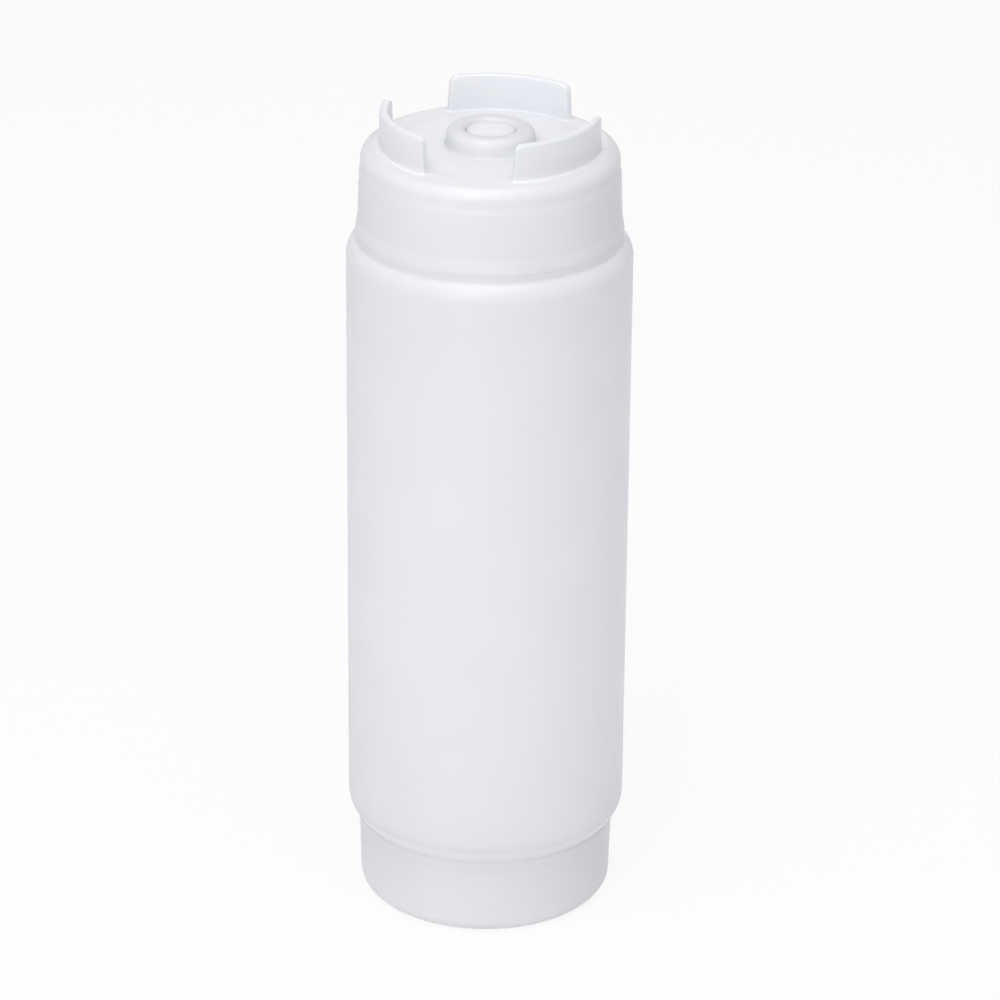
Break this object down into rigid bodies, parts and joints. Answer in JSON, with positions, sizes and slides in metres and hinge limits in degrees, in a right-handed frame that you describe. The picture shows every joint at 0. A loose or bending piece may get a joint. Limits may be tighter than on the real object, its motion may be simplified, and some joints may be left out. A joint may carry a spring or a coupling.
{
  "type": "inverted squeeze bottle",
  "caption": "Cylindrical sauce squeeze bottle with a screw cap at each end: one flat refill cap, one dispensing cap with a slit valve and standing prongs for upside-down storage.",
  "frame": {"origin": "centre of the refill cap's flat underside, on which the bottle stands", "axes": "+Z along the bottle towards the dispensing cap; +Y away from the picture's viewer, +X to the viewer's right"},
  "size_m": [0.064, 0.064, 0.1913],
  "materials": {
    "bottle_plastic": "milky translucent polyethylene, satin",
    "cap_plastic": "milky translucent polypropylene, satin",
    "valve_silicone": "translucent silicone",
    "retainer_plastic": "satin",
    "gasket_silicone": "matt silicone"
  },
  "bodies": {
    "bottle": {"bottle_body": "bottle_plastic"},
    "dispensing_seal": {"dispensing_gasket": "gasket_silicone"},
    "dispensing_closure": {"dispensing_cap": "cap_plastic", "valve_rim": "valve_silicone", "valve_retainer": "retainer_plastic"},
    "refill_seal": {"refill_gasket": "gasket_silicone"},
    "refill_closure": {"refill_cap": "cap_plastic"},
    "valve_lip_1": {"valve_lip_1": "valve_silicone"},
    "valve_lip_2": {"valve_lip_2": "valve_silicone"},
    "valve_lip_3": {"valve_lip_3": "valve_silicone"},
    "valve_lip_4": {"valve_lip_4": "valve_silicone"}
  },
  "joints": [
    {"name": "dispensing_cap_travel", "type": "slide", "parent": "bottle", "child": "dispensing_seal", "axis": [0, 0, 1], "range_m": [0, 0.01694]},
    {"name": "dispensing_cap_turn", "type": "hinge", "parent": "dispensing_seal", "child": "dispensing_closure", "pos_m": [0, 0, 0.17995], "axis": [0, 0, 1], "range_deg": [0, 720]},
    {"name": "refill_cap_travel", "type": "slide", "parent": "bottle", "child": "refill_seal", "axis": [0, 0, -1], "range_m": [0, 0.01694]},
    {"name": "refill_cap_turn", "type": "hinge", "parent": "refill_seal", "child": "refill_closure", "pos_m": [0, 0, 0.00305], "axis": [0, 0, -1], "range_deg": [0, 720]},
    {"name": "valve_lip_1_open", "type": "hinge", "parent": "dispensing_closure", "child": "valve_lip_1", "pos_m": [0.00195, 0.00195, 0.18676], "axis": [-0.7071, 0.7071, 0], "range_deg": [0, 60], "stiffness_Nm_per_rad": 0.0002},
    {"name": "valve_lip_2_open", "type": "hinge", "parent": "dispensing_closure", "child": "valve_lip_2", "pos_m": [-0.00195, 0.00195, 0.18676], "axis": [-0.7071, -0.7071, 0], "range_deg": [0, 60], "stiffness_Nm_per_rad": 0.0002},
    {"name": "valve_lip_3_open", "type": "hinge", "parent": "dispensing_closure", "child": "valve_lip_3", "pos_m": [-0.00195, -0.00195, 0.18676], "axis": [0.7071, -0.7071, 0], "range_deg": [0, 60], "stiffness_Nm_per_rad": 0.0002},
    {"name": "valve_lip_4_open", "type": "hinge", "parent": "dispensing_closure", "child": "valve_lip_4", "pos_m": [0.00195, -0.00195, 0.18676], "axis": [0.7071, 0.7071, 0], "range_deg": [0, 60], "stiffness_Nm_per_rad": 0.0002}
  ],
  "couplings": [
    {"joint": "dispensing_cap_turn", "follows": "dispensing_cap_travel", "rad_per_m": 741.82},
    {"joint": "refill_cap_turn", "follows": "refill_cap_travel", "rad_per_m": 741.82},
    {"joint": "valve_lip_2_open", "follows": "valve_lip_1_open", "ratio": 1},
    {"joint": "valve_lip_3_open", "follows": "valve_lip_1_open", "ratio": 1},
    {"joint": "valve_lip_4_open", "follows": "valve_lip_1_open", "ratio": 1}
  ]
}
